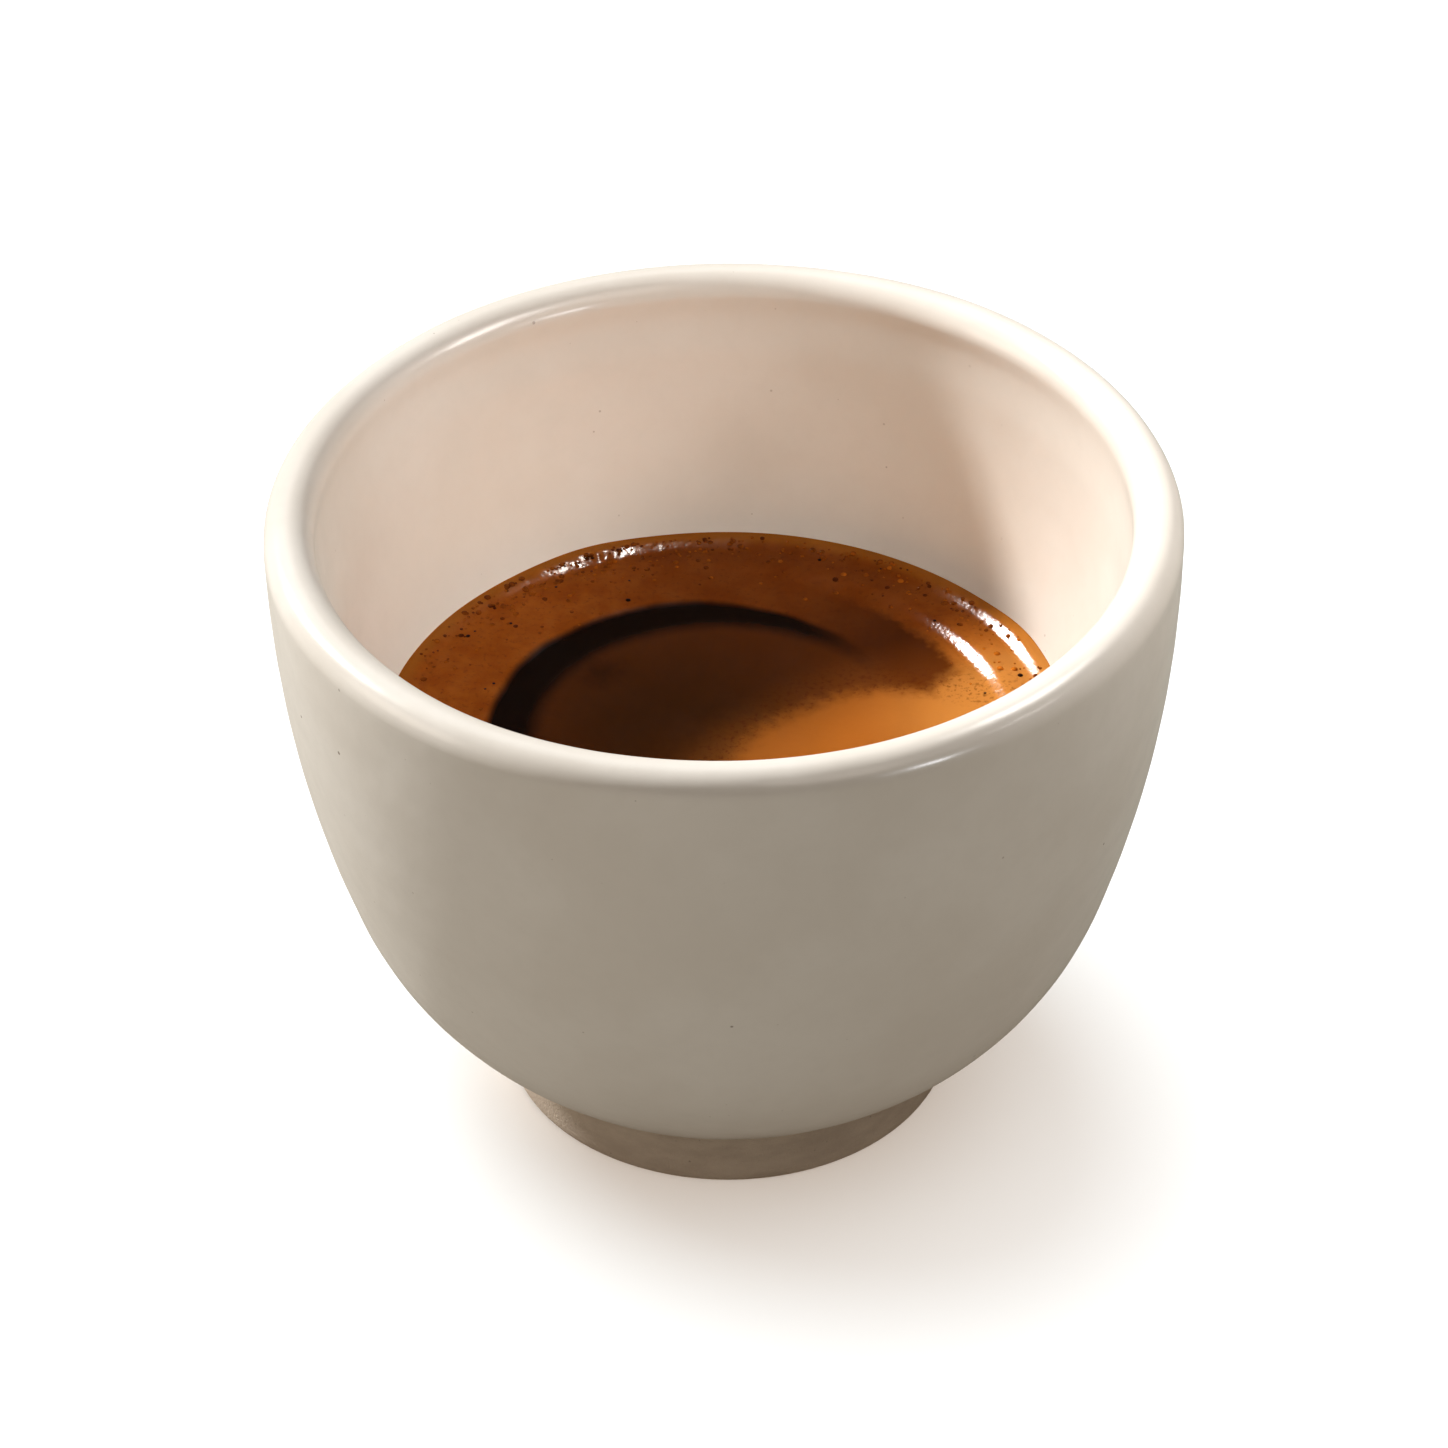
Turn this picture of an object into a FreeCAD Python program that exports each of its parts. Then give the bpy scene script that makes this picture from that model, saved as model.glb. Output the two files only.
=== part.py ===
"""Espresso shot in a small thick-walled ceramic cup without a handle.

Two pieces: the cup, a thrown bowl that leans a little on its level foot ring, and the drink,
a solid that fills the bowl up to a level surface.
Millimetres, +Z up. The origin is on the standing surface, below the centre of the rim.
"""
import FreeCAD, Part
import math
import os
import Sketcher

# Driving dimensions: alias, value, what it is. Lengths are in millimetres.
DIMENSIONS = (
    ("rim_diameter", 62.0, "outer diameter across the lip"),
    ("lip_thickness", 3.5, "thickness of the rounded lip"),
    ("lip_height", 45.4, "height of the centre of the lip's round"),
    ("lean_angle", 0.7, "lean of the bowl's axis from upright, in degrees"),
    ("outer_wall_radius", 91.3, "radius of the slow curve of the outer wall"),
    ("belly_radius", 23.2, "radius of the belly, where the outer wall turns under"),
    ("belly_end_radius", 13.0, "distance from the axis where the belly ends inside the foot"),
    ("belly_end_height", 3.5, "height where the belly ends inside the foot"),
    ("inner_wall_radius", 90.0, "radius of the slow curve of the inner wall"),
    ("drink_diameter", 47.8, "inner diameter of the bowl at the drink's surface"),
    ("drink_level", 27.8, "height of the drink's surface"),
    ("floor_height", 6.3, "height of the lowest point inside the bowl"),
    ("foot_offset", 0.25, "sideways offset of the foot's centre from the rim's centre"),
    ("foot_diameter", 31.8, "outer diameter of the foot ring where it stands"),
    ("foot_flare", 0.2, "how much the foot's radius grows up to its top"),
    ("foot_top", 6.0, "height of the foot's top, buried in the bowl"),
    ("foot_ring_width", 3.6, "width of the ring that the cup stands on"),
    ("foot_recess", 2.2, "depth of the shallow hollow under the foot"),
    ("foot_rounding", 0.4, "rounding of the foot ring's two lower edges"),
)

# Names for the places that sketch constraints refer to
START = 1
END = 2
CENTRE = 3
ORIGIN = (-1, START)
V_AXIS = -2


def make_sheet(doc):
    """Spreadsheet with one row for each driving dimension; returns the numbers by alias."""
    sheet = doc.addObject("Spreadsheet::Sheet", "dims")
    for row, (alias, value, meaning) in enumerate(DIMENSIONS, start=1):
        sheet.set(f"A{row}", meaning)
        sheet.set(f"B{row}", str(value))
        sheet.setAlias(f"B{row}", alias)
    doc.recompute()
    return {alias: float(sheet.get(alias)) for alias, _, _ in DIMENSIONS}


# --- Small helpers -----------------------------------------------------------------------------

def point(radius, height):
    """Point of an upright half-section: distance from the axis, height."""
    return FreeCAD.Vector(radius, height, 0)


def circles_meet(centre_a, radius_a, centre_b, radius_b):
    """Where two circles cross, to the left of the way from centre_a to centre_b."""
    way = centre_b - centre_a
    gap = way.Length
    along = (gap ** 2 + radius_a ** 2 - radius_b ** 2) / (2 * gap)
    across = math.sqrt(radius_a ** 2 - along ** 2)
    unit = way / gap
    return centre_a + unit * along + FreeCAD.Vector(-unit.y, unit.x, 0) * across


def angle_of(centre, place):
    """Direction from a circle's centre to a point, in radians."""
    return math.atan2(place.y - centre.y, place.x - centre.x)


def arc_between(centre, radius, first, last):
    """Arc that runs anticlockwise from first to last."""
    circle = Part.Circle(centre, FreeCAD.Vector(0, 0, 1), radius)
    return Part.ArcOfCircle(circle, angle_of(centre, first), angle_of(centre, last))


def join(sketch, *places):
    sketch.addConstraint(Sketcher.Constraint("Coincident", *places))


def smooth_join(sketch, *places):
    sketch.addConstraint(Sketcher.Constraint("Tangent", *places))


def on_axis(sketch, element, place):
    sketch.addConstraint(Sketcher.Constraint("PointOnObject", element, place, V_AXIS))


def drive(sketch, kind, places, drawn, expression):
    """Add a dimension with its drawn size to a sketch and bind it to the spreadsheet."""
    index = sketch.addConstraint(Sketcher.Constraint(kind, *places, drawn))
    name = f"{kind}_{index}"
    sketch.renameConstraint(index, name)
    sketch.setExpression(f"Constraints.{name}", expression)


def drive_radius(sketch, element, expression):
    """Fix the radius of an arc or circle."""
    drive(sketch, "Radius", (element,), sketch.Geometry[element].Radius, expression)


def drive_place(sketch, element, place, radius="", height=""):
    """Fix a point of a half-section by its distance from the axis, its height, or both."""
    drawn = sketch.getPoint(element, place)
    if radius:
        drive(sketch, "DistanceX", (*ORIGIN, element, place), drawn.x, radius)
    if height:
        drive(sketch, "DistanceY", (*ORIGIN, element, place), drawn.y, height)


# --- Bodies, sketches and features -------------------------------------------------------------

def make_body(doc, label):
    """Empty body; its label names the piece's file."""
    body = doc.addObject("PartDesign::Body", label)
    body.Label = label
    body.Placement = FreeCAD.Placement()
    return body


def make_sketch(body, name, role):
    """Sketch on one of the body's own origin planes."""
    plane = next(feature for feature in body.Origin.OriginFeatures if feature.Role == role)
    sketch = body.newObject("Sketcher::SketchObject", name)
    sketch.AttachmentSupport = (plane, [""])
    sketch.MapMode = "FlatFace"
    return sketch


def lean(sketch):
    """Turn a half-section about the centre of the rim, so that the bowl's axis leans."""
    sketch.setExpression("AttachmentOffset.Base.x", "dims.lip_height * sin(dims.lean_angle)")
    sketch.setExpression("AttachmentOffset.Rotation.Angle", "dims.lean_angle")


def revolve(body, sketch, name):
    """Full turn of a half-section about its own vertical axis."""
    feature = body.newObject("PartDesign::Revolution", name)
    feature.Profile = sketch
    feature.ReferenceAxis = (sketch, ["V_Axis"])
    feature.Angle = 360
    body.Tip = feature
    return feature


# --- The cup -----------------------------------------------------------------------------------

def cavity_outline(sketch, size):
    """Lip round, inner wall and bowl floor: three arcs, each tangent to the next.

    Returns the indices of the lip, wall and floor arcs.
    """
    lip_radius = size["lip_thickness"] / 2
    wall_radius = size["inner_wall_radius"]
    lip_centre = point(size["rim_diameter"] / 2 - lip_radius, size["lip_height"])
    drink_edge = point(size["drink_diameter"] / 2, size["drink_level"])
    wall_centre = circles_meet(drink_edge, wall_radius, lip_centre, wall_radius + lip_radius)
    drop = wall_centre.y - size["floor_height"]
    floor_radius = (wall_radius ** 2 - wall_centre.x ** 2 - drop ** 2) / (2 * (wall_radius - drop))
    floor_centre = point(0, size["floor_height"] + floor_radius)
    floor_lowest = point(0, size["floor_height"])
    wall_foot = wall_centre + (floor_centre - wall_centre).normalize() * wall_radius
    wall_top = lip_centre + (wall_centre - lip_centre).normalize() * lip_radius
    lip_outermost = lip_centre + FreeCAD.Vector(lip_radius, 0, 0)

    lip = sketch.addGeometry(arc_between(lip_centre, lip_radius, lip_outermost, wall_top))
    wall = sketch.addGeometry(arc_between(wall_centre, wall_radius, wall_foot, wall_top))
    floor = sketch.addGeometry(arc_between(floor_centre, floor_radius, floor_lowest, wall_foot))
    edge = sketch.addGeometry(Part.Point(drink_edge), True)

    smooth_join(sketch, lip, END, wall, END)
    smooth_join(sketch, wall, START, floor, END)
    sketch.addConstraint(Sketcher.Constraint("Horizontal", lip, START, lip, CENTRE))
    sketch.addConstraint(Sketcher.Constraint("PointOnObject", edge, START, wall))
    on_axis(sketch, floor, CENTRE)
    on_axis(sketch, floor, START)
    drive_radius(sketch, lip, "dims.lip_thickness / 2")
    drive_place(sketch, lip, CENTRE, "dims.rim_diameter / 2 - dims.lip_thickness / 2", "dims.lip_height")
    drive_radius(sketch, wall, "dims.inner_wall_radius")
    drive_place(sketch, edge, START, "dims.drink_diameter / 2", "dims.drink_level")
    drive_place(sketch, floor, START, height="dims.floor_height")
    return lip, wall, floor


def bowl_outline(sketch, size):
    """Half-section of the bowl's clay, closed round the cavity, the lip, the wall and the belly."""
    lip, _, floor = cavity_outline(sketch, size)
    wall_radius = size["outer_wall_radius"]
    belly_radius = size["belly_radius"]
    rim = point(size["rim_diameter"] / 2, size["lip_height"])
    wall_centre = rim - FreeCAD.Vector(wall_radius, 0, 0)
    belly_end = point(size["belly_end_radius"], size["belly_end_height"])
    belly_centre = circles_meet(wall_centre, wall_radius - belly_radius, belly_end, belly_radius)
    belly_top = wall_centre + (belly_centre - wall_centre).normalize() * wall_radius
    axis_foot = point(0, size["belly_end_height"])

    wall = sketch.addGeometry(arc_between(wall_centre, wall_radius, belly_top, rim))
    belly = sketch.addGeometry(arc_between(belly_centre, belly_radius, belly_end, belly_top))
    base = sketch.addGeometry(Part.LineSegment(axis_foot, belly_end))
    axis = sketch.addGeometry(Part.LineSegment(point(0, size["floor_height"]), axis_foot))

    smooth_join(sketch, wall, END, lip, START)
    smooth_join(sketch, belly, END, wall, START)
    join(sketch, base, END, belly, START)
    join(sketch, axis, END, base, START)
    join(sketch, axis, START, floor, START)
    on_axis(sketch, axis, END)
    sketch.addConstraint(Sketcher.Constraint("Horizontal", base))
    drive_radius(sketch, wall, "dims.outer_wall_radius")
    drive_radius(sketch, belly, "dims.belly_radius")
    drive_place(sketch, belly, START, "dims.belly_end_radius", "dims.belly_end_height")


def foot_outline(sketch, size):
    """Half-section of the foot: a disc on a standing ring, its top buried in the bowl."""
    foot_radius = size["foot_diameter"] / 2
    ring_radius = foot_radius - size["foot_ring_width"]
    corners = (
        (point(0, size["foot_top"]), "", ""),
        (point(0, size["foot_recess"]), "", "dims.foot_recess"),
        (point(ring_radius, size["foot_recess"]), "dims.foot_diameter / 2 - dims.foot_ring_width", ""),
        (point(ring_radius, 0), "", "0"),
        (point(foot_radius, 0), "dims.foot_diameter / 2", ""),
        (point(foot_radius + size["foot_flare"], size["foot_top"]),
         "dims.foot_diameter / 2 + dims.foot_flare", "dims.foot_top"),
    )
    places = [corner for corner, _, _ in corners]
    sides = [sketch.addGeometry(Part.LineSegment(first, last))
             for first, last in zip(places, places[1:] + places[:1])]
    for side, following in zip(sides, sides[1:] + sides[:1]):
        join(sketch, side, END, following, START)
    axis, roof, ring_inside, ring_bottom, _, top = sides
    on_axis(sketch, axis, START)
    on_axis(sketch, axis, END)
    sketch.addConstraint(Sketcher.Constraint("Vertical", ring_inside))
    for level in (roof, ring_bottom, top):
        sketch.addConstraint(Sketcher.Constraint("Horizontal", level))
    for side, (_, radius, height) in zip(sides, corners):
        drive_place(sketch, side, START, radius, height)
    sketch.setExpression("AttachmentOffset.Base.x", "dims.foot_offset")


def round_standing_edges(doc, body, foot):
    """Round the foot ring's two edges at the standing surface."""
    doc.recompute()
    standing = [f"Edge{index}" for index, edge in enumerate(foot.Shape.Edges, start=1)
                if not edge.Degenerated and abs(edge.CenterOfMass.z) < 1e-6]
    rounding = body.newObject("PartDesign::Fillet", "foot_rounding")
    rounding.Base = (foot, standing)
    rounding.setExpression("Radius", "dims.foot_rounding")
    body.Tip = rounding
    return rounding


def make_cup(doc, size):
    """One piece of fired clay: the leaning bowl and its level foot."""
    body = make_body(doc, "cup")
    outline = make_sketch(body, "bowl_outline", "XZ_Plane")
    lean(outline)
    bowl_outline(outline, size)
    revolve(body, outline, "bowl")
    outline = make_sketch(body, "foot_outline", "XZ_Plane")
    foot_outline(outline, size)
    foot = revolve(body, outline, "foot")
    round_standing_edges(doc, body, foot)
    return body


# --- The drink ---------------------------------------------------------------------------------

def fill_outline(sketch, size):
    """Half-section of the whole cavity, closed by a line across from the lip."""
    lip, wall, floor = cavity_outline(sketch, size)
    sketch.setConstruction(lip, True)
    top = point(0, size["lip_height"])
    cover = sketch.addGeometry(Part.LineSegment(sketch.getPoint(wall, END), top))
    axis = sketch.addGeometry(Part.LineSegment(top, point(0, size["floor_height"])))
    join(sketch, cover, START, wall, END)
    join(sketch, cover, END, axis, START)
    join(sketch, axis, END, floor, START)
    on_axis(sketch, axis, START)
    sketch.addConstraint(Sketcher.Constraint("Horizontal", cover))


def make_espresso(doc, size):
    """The drink: the leaning cavity, cut off level at the drink's surface."""
    body = make_body(doc, "espresso")
    outline = make_sketch(body, "fill_outline", "XZ_Plane")
    lean(outline)
    fill_outline(outline, size)
    filled = revolve(body, outline, "filled_cavity")

    surface = make_sketch(body, "drink_surface", "XY_Plane")
    surface.setExpression("AttachmentOffset.Base.z", "dims.drink_level")
    circle = Part.Circle(FreeCAD.Vector(), FreeCAD.Vector(0, 0, 1), size["rim_diameter"] / 2)
    disc = surface.addGeometry(circle)
    join(surface, disc, CENTRE, *ORIGIN)
    drive_radius(surface, disc, "dims.rim_diameter / 2")
    cut = body.newObject("PartDesign::Pocket", "above_surface")
    cut.Profile = surface
    cut.Type = "Length"
    cut.setExpression("Length", "dims.lip_height")
    cut.Reversed = True
    body.Tip = cut
    doc.recompute()
    if cut.Shape.Volume > 0.9 * filled.Shape.Volume:
        raise RuntimeError("the cut above the drink's surface removed nothing")
    return body


# --- Checking and writing ----------------------------------------------------------------------

def check(doc, bodies):
    """Stop if an object failed to recompute or a piece is not one valid solid."""
    for item in doc.Objects:
        if "Invalid" in item.State or "Error" in item.State:
            raise RuntimeError(f"{item.Label} failed: {item.State}")
    for body in bodies:
        shape = body.Shape
        if shape.isNull() or not shape.isValid() or len(shape.Solids) != 1:
            raise RuntimeError(f"{body.Label} is not one valid solid")


def write(bodies):
    """Write each piece to a file named after it."""
    os.makedirs("parts", exist_ok=True)
    for body in bodies:
        body.Shape.exportStep(f"parts/{body.Label}.step")
        box = body.Shape.BoundBox
        print(f"{body.Label}: {body.Shape.Volume / 1000:.2f} ml, x {box.XMin:.3f} to {box.XMax:.3f}, "
              f"z {box.ZMin:.3f} to {box.ZMax:.3f}")


def main():
    doc = FreeCAD.newDocument("espresso_shot")
    size = make_sheet(doc)
    bodies = [make_cup(doc, size), make_espresso(doc, size)]
    doc.recompute()
    check(doc, bodies)
    write(bodies)
    return doc


main()
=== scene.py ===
"""Looks of an espresso shot in a handleless stoneware cup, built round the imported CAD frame.

Metres, in the frame's own axes. Lengths are written in millimetres times MM.
"""
import math
import random

import bpy
from mathutils import Matrix, Vector, noise


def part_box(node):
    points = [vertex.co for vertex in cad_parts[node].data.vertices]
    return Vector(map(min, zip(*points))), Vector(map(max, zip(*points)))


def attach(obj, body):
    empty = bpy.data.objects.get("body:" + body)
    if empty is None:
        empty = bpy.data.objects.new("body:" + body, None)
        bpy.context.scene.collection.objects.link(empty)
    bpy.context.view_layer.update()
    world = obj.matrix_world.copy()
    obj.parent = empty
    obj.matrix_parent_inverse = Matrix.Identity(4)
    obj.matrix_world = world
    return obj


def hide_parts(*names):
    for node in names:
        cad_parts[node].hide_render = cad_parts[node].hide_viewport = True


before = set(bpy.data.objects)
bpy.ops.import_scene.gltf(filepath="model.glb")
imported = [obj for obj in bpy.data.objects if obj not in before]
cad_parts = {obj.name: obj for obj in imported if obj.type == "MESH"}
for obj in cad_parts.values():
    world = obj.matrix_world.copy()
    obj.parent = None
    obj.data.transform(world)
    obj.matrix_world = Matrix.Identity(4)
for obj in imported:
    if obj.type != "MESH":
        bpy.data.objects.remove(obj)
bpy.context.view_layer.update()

MM = 0.001

# --- Sizes from the frame ------------------------------------------------------------------------
cup_low, cup_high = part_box("cup")
drink_low, drink_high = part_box("espresso")

RIM_RADIUS = (cup_high.x - cup_low.x) / 2
LEAN = math.radians(0.7)                # the bowl's axis leans to -X
LIP_RADIUS = 1.75 * MM                  # half the thickness of the rounded lip
LIP_CENTRE_RADIUS = RIM_RADIUS - LIP_RADIUS
LIP_HEIGHT = (cup_high.z - LIP_RADIUS - LIP_CENTRE_RADIUS * math.sin(LEAN)) / math.cos(LEAN)

OUTER_WALL_RADIUS = 91.3 * MM           # the slow curve of the outer wall
BELLY_RADIUS = 23.2 * MM                # where the outer wall turns under
BELLY_END = Vector((13.0 * MM, 3.5 * MM))
INNER_WALL_RADIUS = 90.0 * MM

DRINK_LEVEL = drink_high.z
DRINK_RADIUS = 23.9 * MM                # inner radius of the bowl at the drink's surface
DRINK_CENTRE = Vector(((drink_low.x + drink_high.x) / 2, 0))
FLOOR_HEIGHT = drink_low.z              # lowest point inside the bowl

BEAD_RECESS = 0.11 * MM                 # how far the wall draws back under the lip's bead
BEAD_UNDER = (-0.6 * MM, 1.0 * MM)      # depths under the lip's centre between which it draws back
BEAD_FADE = (1.0 * MM, 4.5 * MM)        # depths between which it comes out again

FOOT_CENTRE_X = 0.25 * MM
FOOT_RADIUS = 15.9 * MM
FOOT_FLARE = 0.2 * MM / (6.0 * MM)      # outward slope of the foot's wall, per unit of height
FOOT_RING_WIDTH = 3.6 * MM
FOOT_RECESS = 2.2 * MM
FOOT_ROUNDING = 0.4 * MM                # of the ring's edges
RECESS_ROUNDING = 0.3 * MM              # of the corner between the ring and the hollow's top

SUBMERGED = 0.3 * MM                    # how far under the drink's level its radius is taken
DRINK_OVERLAP = 0.25 * MM               # how far the drink's top reaches into the clay
DRINK_CLEARANCE = 0.03 * MM             # between the drink's underside and the clay
UNDERSIDE_TOP = 0.6 * MM                # depth of the underside's first ring

CUP_AROUND = 400                        # vertices in one ring of the cup
FLOOR_STEPS = 16
WALL_STEPS = 70
LIP_STEPS = 26
OUTER_STEPS = 54
BELLY_STEPS = 44
FOOT_STEPS = 9
DRINK_AROUND = 640                      # vertices in one ring of the drink
DRINK_STEPS = 122                       # rings of the drink's top
UNDERSIDE_STEPS = 12
DOME_AROUND = 12
DOME_ANGLES = (-12, 22, 50, 74)         # heights of a dome's rings, in degrees


# --- Meshes --------------------------------------------------------------------------------------

def new_object(name, vertices, faces, rounded=True):
    """A mesh object in the scene, shaded smooth if it is rounded."""
    mesh = bpy.data.meshes.new(name)
    mesh.from_pydata([tuple(v) for v in vertices], [], faces)
    mesh.update()
    obj = bpy.data.objects.new(name, mesh)
    bpy.context.scene.collection.objects.link(obj)
    if rounded:
        mesh.polygons.foreach_set("use_smooth", [True] * len(mesh.polygons))
    return obj


def smoothstep(low, high, value):
    """0 below low, 1 above high, and an even curve between."""
    t = min(max((value - low) / (high - low), 0), 1)
    return t * t * (3 - 2 * t)


def circles_meet(centre_a, radius_a, centre_b, radius_b):
    """Where two circles cross, to the left of the way from centre_a to centre_b."""
    way = centre_b - centre_a
    gap = way.length
    along = (gap ** 2 + radius_a ** 2 - radius_b ** 2) / (2 * gap)
    across = math.sqrt(radius_a ** 2 - along ** 2)
    unit = way / gap
    return centre_a + unit * along + Vector((-unit.y, unit.x)) * across


def arc(centre, radius, first, last, steps):
    """Points on an arc from one angle to another, in radians, both ends included."""
    return [centre + radius * Vector((math.cos(a), math.sin(a)))
            for a in (first + (last - first) * i / steps for i in range(steps + 1))]


def angle_of(centre, place):
    """Angle of the way from a centre to a place, in radians."""
    return math.atan2(place.y - centre.y, place.x - centre.x)


def lean(place):
    """Turn an upright point about the centre of the rim, as the bowl leans."""
    c, s = math.cos(LEAN), math.sin(LEAN)
    return Vector((place.x * c - place.z * s + LIP_HEIGHT * s, place.y, place.x * s + place.z * c))


def bead_recess(height):
    """How far the wall draws back under the lip's rounded bead, at a height."""
    below = LIP_HEIGHT - height
    return BEAD_RECESS * smoothstep(*BEAD_UNDER, below) * (1 - smoothstep(*BEAD_FADE, below))


def cavity_arcs():
    """Centres and radii of the lip's round, the inner wall and the bowl's floor."""
    lip = Vector((LIP_CENTRE_RADIUS, LIP_HEIGHT))
    edge = Vector((DRINK_RADIUS, DRINK_LEVEL - SUBMERGED))
    wall = circles_meet(edge, INNER_WALL_RADIUS, lip, INNER_WALL_RADIUS + LIP_RADIUS)
    drop = wall.y - FLOOR_HEIGHT
    floor_radius = (INNER_WALL_RADIUS ** 2 - wall.x ** 2 - drop ** 2) / (2 * (INNER_WALL_RADIUS - drop))
    return lip, wall, Vector((0, FLOOR_HEIGHT + floor_radius)), floor_radius


def inner_radius(height):
    """Inner radius of the upright bowl at a height."""
    _, wall, floor, floor_radius = cavity_arcs()
    if height < wall.y + INNER_WALL_RADIUS * math.sin(angle_of(wall, floor)):
        return math.sqrt(max(floor_radius ** 2 - (height - floor.y) ** 2, 0))
    return wall.x + math.sqrt(INNER_WALL_RADIUS ** 2 - (height - wall.y) ** 2)


def close_rings(rings, around):
    """Faces between rings of `around` vertices each; a ring of one vertex closes a pole."""
    faces = []
    starts = [0]
    for ring in rings:
        starts.append(starts[-1] + len(ring))
    for k in range(len(rings) - 1):
        a, b = starts[k], starts[k + 1]
        for i in range(around):
            j = (i + 1) % around
            if len(rings[k]) == 1:
                faces.append((a, b + j, b + i))
            elif len(rings[k + 1]) == 1:
                faces.append((a + i, a + j, b))
            else:
                faces.append((a + i, a + j, b + j, b + i))
    return faces


def ring_of(radius, height):
    """One ring of upright points."""
    return [Vector((radius * math.cos(t), radius * math.sin(t), height))
            for t in (2 * math.pi * i / CUP_AROUND for i in range(CUP_AROUND))]


def belly_foot_angle(centre, turn):
    """Angle on the belly's arc where it meets the foot's wall, seen at one turn round the axis."""
    low, high = math.radians(-80), math.radians(-30)
    for _ in range(30):
        middle = (low + high) / 2
        place = centre + BELLY_RADIUS * Vector((math.cos(middle), math.sin(middle)))
        p = lean(Vector((place.x * math.cos(turn), place.x * math.sin(turn), place.y)))
        reach = math.hypot(p.x - FOOT_CENTRE_X, p.y)
        if reach < FOOT_RADIUS + FOOT_FLARE * p.z:
            low = middle
        else:
            high = middle
    return low


def under_foot():
    """Section of the foot's underside, from its outer edge to near the middle of the hollow."""
    ring_inside = FOOT_RADIUS - FOOT_RING_WIDTH
    outer_edge = Vector((FOOT_RADIUS - FOOT_ROUNDING, FOOT_ROUNDING))
    inner_edge = Vector((ring_inside + FOOT_ROUNDING, FOOT_ROUNDING))
    corner = Vector((ring_inside - RECESS_ROUNDING, FOOT_RECESS - RECESS_ROUNDING))
    under = arc(outer_edge, FOOT_ROUNDING, 0, -math.pi / 2, 5)[1:]
    under += arc(inner_edge, FOOT_ROUNDING, -math.pi / 2, -math.pi, 5)
    under += [Vector((ring_inside, FOOT_RECESS - RECESS_ROUNDING))]
    under += arc(corner, RECESS_ROUNDING, 0, math.pi / 2, 4)[1:]
    under += [Vector((ring_inside * share, FOOT_RECESS)) for share in (0.8, 0.5, 0.2)]
    return under


def cup_rings():
    """Rings of the cup from the middle of the bowl's floor, over the lip, to the middle of the base.

    Returns the rings and the number of the ring where the bowl meets the foot.
    """
    lip, wall, floor, floor_radius = cavity_arcs()
    lip_to_wall = angle_of(lip, wall)
    wall_foot = angle_of(wall, floor)
    inside = arc(floor, floor_radius, -math.pi / 2, wall_foot, FLOOR_STEPS)[1:]
    inside += arc(wall, INNER_WALL_RADIUS, wall_foot, lip_to_wall - math.pi, WALL_STEPS)[1:]
    inside += arc(lip, LIP_RADIUS, lip_to_wall, 0, LIP_STEPS)[1:]
    inside = [Vector((q.x + bead_recess(q.y) * (q.x < LIP_CENTRE_RADIUS), q.y)) for q in inside]
    outer_centre = Vector((RIM_RADIUS - OUTER_WALL_RADIUS, LIP_HEIGHT))
    belly_centre = circles_meet(outer_centre, OUTER_WALL_RADIUS - BELLY_RADIUS, BELLY_END, BELLY_RADIUS)
    belly_top = angle_of(outer_centre, belly_centre)
    inside += arc(outer_centre, OUTER_WALL_RADIUS, 0, belly_top, OUTER_STEPS)[1:]

    rings = [[lean(Vector((0, 0, FLOOR_HEIGHT)))]]
    rings += [[lean(p) for p in ring_of(q.x, q.y)] for q in inside]

    turns = [2 * math.pi * i / CUP_AROUND for i in range(CUP_AROUND)]
    ends = [belly_foot_angle(belly_centre, t) for t in turns]
    for k in range(1, BELLY_STEPS + 1):
        ring = []
        for turn, end in zip(turns, ends):
            a = belly_top + (end - belly_top) * k / BELLY_STEPS
            q = belly_centre + BELLY_RADIUS * Vector((math.cos(a), math.sin(a)))
            ring.append(lean(Vector((q.x * math.cos(turn), q.x * math.sin(turn), q.y))))
        rings.append(ring)
    joint = len(rings) - 1

    seam = rings[joint]
    for k in range(1, FOOT_STEPS + 1):
        ring = []
        for turn, p in zip(turns, seam):
            z = p.z + (FOOT_ROUNDING - p.z) * k / FOOT_STEPS
            radius = FOOT_RADIUS + FOOT_FLARE * z
            ring.append(Vector((FOOT_CENTRE_X + radius * math.cos(turn), radius * math.sin(turn), z)))
        rings.append(ring)
    shift = Vector((FOOT_CENTRE_X, 0, 0))
    rings += [[p + shift for p in ring_of(q.x, q.y)] for q in under_foot()]
    rings.append([Vector((FOOT_CENTRE_X, 0, FOOT_RECESS))])
    return rings, joint


DIMPLE_OFFSET = Vector((7, 3, 1))
THROWING_PITCH = 0.62 * MM              # height of a throwing ring, over 2 pi


def hand_thrown(place, normal):
    """How far the clay stands off the true form at a point: slow waves and faint throwing rings."""
    wave = noise.noise(place / (17 * MM)) * 0.10 * MM
    dimple = noise.noise(place / (3.1 * MM) + DIMPLE_OFFSET) * 0.012 * MM
    drift = 2 * noise.noise(place / (20 * MM))
    throwing = math.sin(place.z / THROWING_PITCH + drift) * 0.006 * MM
    return wave + dimple + throwing * (1 - abs(normal.z))


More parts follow.
